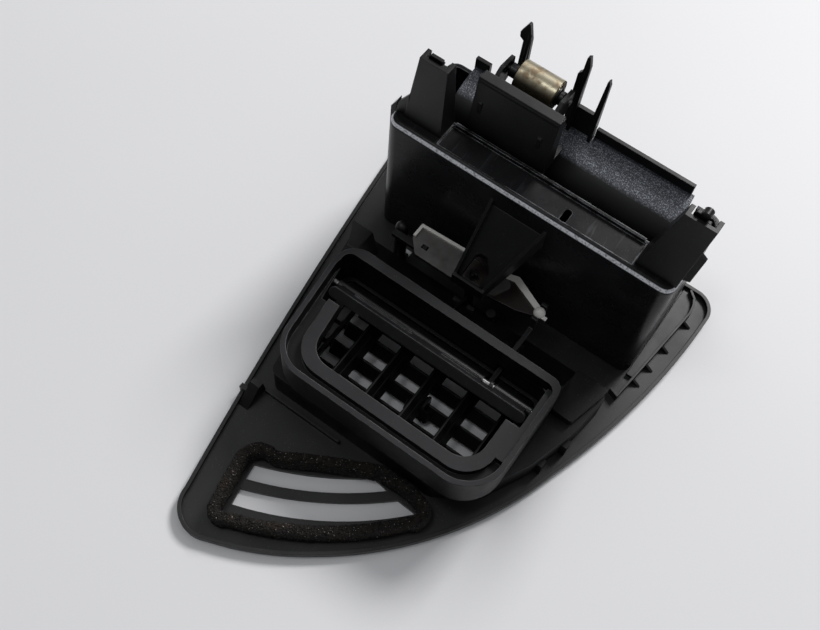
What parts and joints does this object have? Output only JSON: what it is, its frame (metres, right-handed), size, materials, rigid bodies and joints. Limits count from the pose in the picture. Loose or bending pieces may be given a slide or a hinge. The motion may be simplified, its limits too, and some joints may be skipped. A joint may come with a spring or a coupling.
{
  "type": "car dashboard air vent",
  "caption": "Side air vent panel for a car dashboard, lying face down: inlet collar with damper and vanes, demister outlet with foam seal, and a pull-out pocket with clip towers.",
  "frame": {"origin": "middle of the base of the whole object, on the plane of the fascia's front face", "axes": "+Z from the fascia's front towards the back of the vent, +Y from the demister outlet towards the pocket, +X along the duct mouth"},
  "size_m": [0.1922, 0.2542, 0.1342],
  "materials": {
    "black_plastic": "satin moulded",
    "fascia_plastic": "fine grain",
    "housing_plastic": "semi-gloss, scuffed",
    "grained_plastic": "coarse leather grain",
    "white_plastic": "natural acetal",
    "foam": "open-cell foam",
    "spring_steel": "rolled strip",
    "axle_steel": "drawn wire"
  },
  "bodies": {
    "panel": {"fascia": "fascia_plastic", "demister_foam_seal": "foam", "vent_body": "black_plastic", "inlet_collar": "black_plastic", "vane_frame": "black_plastic", "lever_pivot_pin": "black_plastic", "lever_bracket": "housing_plastic", "pocket_housing": "housing_plastic", "left_clip_tower": "housing_plastic", "right_clip_tower": "housing_plastic", "left_snap_tongue": "black_plastic", "right_snap_tongue": "black_plastic", "spring_housing": "black_plastic", "spring_axle": "axle_steel", "spring_strip": "spring_steel"},
    "rear_vane_1": {"rear_vane_1": "black_plastic"},
    "rear_vane_2": {"rear_vane_2": "black_plastic"},
    "rear_vane_3": {"rear_vane_3": "black_plastic"},
    "rear_vane_4": {"rear_vane_4": "black_plastic"},
    "rear_vane_5": {"rear_vane_5": "black_plastic"},
    "rear_vane_link": {"rear_vane_link": "black_plastic"},
    "front_vane_1": {"front_vane_1": "black_plastic"},
    "front_vane_2": {"front_vane_2": "black_plastic"},
    "front_vane_3": {"front_vane_3": "black_plastic"},
    "front_vane_4": {"front_vane_4": "black_plastic"},
    "front_vane_link": {"front_vane_link": "black_plastic"},
    "direction_knob": {"direction_knob": "grained_plastic"},
    "damper": {"damper_flap": "black_plastic", "damper_shaft": "axle_steel", "damper_crank": "black_plastic"},
    "push_rod": {"damper_push_rod": "black_plastic"},
    "rocker": {"rocker_lever": "white_plastic"},
    "shutoff_slider": {"shutoff_slider": "black_plastic"},
    "pocket": {"pocket_bin": "grained_plastic", "pocket_front": "grained_plastic", "stop_prong": "black_plastic", "guide_prongs": "black_plastic"},
    "spring_roll": {"spring_coil": "spring_steel", "spring_drum": "black_plastic"}
  },
  "joints": [
    {"name": "rear_vane_1_turn", "type": "hinge", "parent": "panel", "child": "rear_vane_1", "pos_m": [-0.03311, -0.01241, 0.018], "axis": [0, 1, 0], "range_deg": [-28, 28]},
    {"name": "rear_vane_2_turn", "type": "hinge", "parent": "panel", "child": "rear_vane_2", "pos_m": [-0.01381, -0.01241, 0.018], "axis": [0, 1, 0], "range_deg": [-28, 28]},
    {"name": "rear_vane_3_turn", "type": "hinge", "parent": "panel", "child": "rear_vane_3", "pos_m": [0.00549, -0.01241, 0.018], "axis": [0, 1, 0], "range_deg": [-28, 28]},
    {"name": "rear_vane_4_turn", "type": "hinge", "parent": "panel", "child": "rear_vane_4", "pos_m": [0.02479, -0.01241, 0.018], "axis": [0, 1, 0], "range_deg": [-28, 28]},
    {"name": "rear_vane_5_turn", "type": "hinge", "parent": "panel", "child": "rear_vane_5", "pos_m": [0.04409, -0.01241, 0.018], "axis": [0, 1, 0], "range_deg": [-28, 28]},
    {"name": "rear_link_slide", "type": "slide", "parent": "panel", "child": "rear_vane_link", "axis": [1, 0, 0], "range_m": [-0.0022, 0.0022]},
    {"name": "front_vane_1_turn", "type": "hinge", "parent": "panel", "child": "front_vane_1", "pos_m": [-0.00391, -0.02631, 0.0068], "axis": [1, 0, 0], "range_deg": [-14, 27]},
    {"name": "front_vane_2_turn", "type": "hinge", "parent": "panel", "child": "front_vane_2", "pos_m": [-0.00391, -0.01431, 0.0068], "axis": [1, 0, 0], "range_deg": [-14, 27]},
    {"name": "front_vane_3_turn", "type": "hinge", "parent": "panel", "child": "front_vane_3", "pos_m": [-0.00391, -0.00231, 0.0068], "axis": [1, 0, 0], "range_deg": [-14, 27]},
    {"name": "front_vane_4_turn", "type": "hinge", "parent": "panel", "child": "front_vane_4", "pos_m": [-0.00391, 0.00969, 0.0068], "axis": [1, 0, 0], "range_deg": [-14, 27]},
    {"name": "front_link_slide", "type": "slide", "parent": "panel", "child": "front_vane_link", "axis": [0, 1, 0], "range_m": [-0.00152, 0.0008]},
    {"name": "knob_slide", "type": "slide", "parent": "front_vane_2", "child": "direction_knob", "axis": [1, 0, 0], "range_m": [-0.0025, 0.0025]},
    {"name": "damper_turn", "type": "hinge", "parent": "panel", "child": "damper", "pos_m": [-0.00391, 0.00309, 0.035], "axis": [1, 0, 0], "range_deg": [-20, 45]},
    {"name": "push_rod_slide", "type": "slide", "parent": "panel", "child": "push_rod", "axis": [0, 1, 0], "range_m": [-0.0028, 0.0061]},
    {"name": "rocker_turn", "type": "hinge", "parent": "panel", "child": "rocker", "pos_m": [-0.00741, 0.04459, 0.0348], "axis": [0, 0, 1], "range_deg": [-4.5, 9.8]},
    {"name": "shutoff_slide", "type": "slide", "parent": "panel", "child": "shutoff_slider", "axis": [0, 1, 0], "range_m": [-0.005, 0.0023]},
    {"name": "pocket_pull", "type": "slide", "parent": "panel", "child": "pocket", "axis": [0, 0, -1], "range_m": [0, 0.055]},
    {"name": "spring_roll_turn", "type": "hinge", "parent": "panel", "child": "spring_roll", "pos_m": [-0.02271, 0.10509, 0.111], "axis": [1, 0, 0], "range_deg": [-12, 412]}
  ],
  "couplings": [
    {"joint": "rear_vane_2_turn", "follows": "rear_vane_1_turn", "ratio": 1},
    {"joint": "rear_vane_3_turn", "follows": "rear_vane_1_turn", "ratio": 1},
    {"joint": "rear_vane_4_turn", "follows": "rear_vane_1_turn", "ratio": 1},
    {"joint": "rear_vane_5_turn", "follows": "rear_vane_1_turn", "ratio": 1},
    {"joint": "rear_link_slide", "follows": "rear_vane_1_turn", "m_per_rad": 0.0044},
    {"joint": "front_vane_1_turn", "follows": "front_vane_2_turn", "ratio": 1},
    {"joint": "front_vane_3_turn", "follows": "front_vane_2_turn", "ratio": 1},
    {"joint": "front_vane_4_turn", "follows": "front_vane_2_turn", "ratio": 1},
    {"joint": "front_link_slide", "follows": "front_vane_2_turn", "m_per_rad": -0.00314},
    {"joint": "knob_slide", "follows": "rear_vane_1_turn", "m_per_rad": -0.0049},
    {"joint": "push_rod_slide", "follows": "damper_turn", "m_per_rad": 0.0076},
    {"joint": "rocker_turn", "follows": "damper_turn", "ratio": 0.21111},
    {"joint": "shutoff_slide", "follows": "damper_turn", "m_per_rad": -0.006017},
    {"joint": "spring_roll_turn", "follows": "pocket_pull", "rad_per_m": 125}
  ]
}
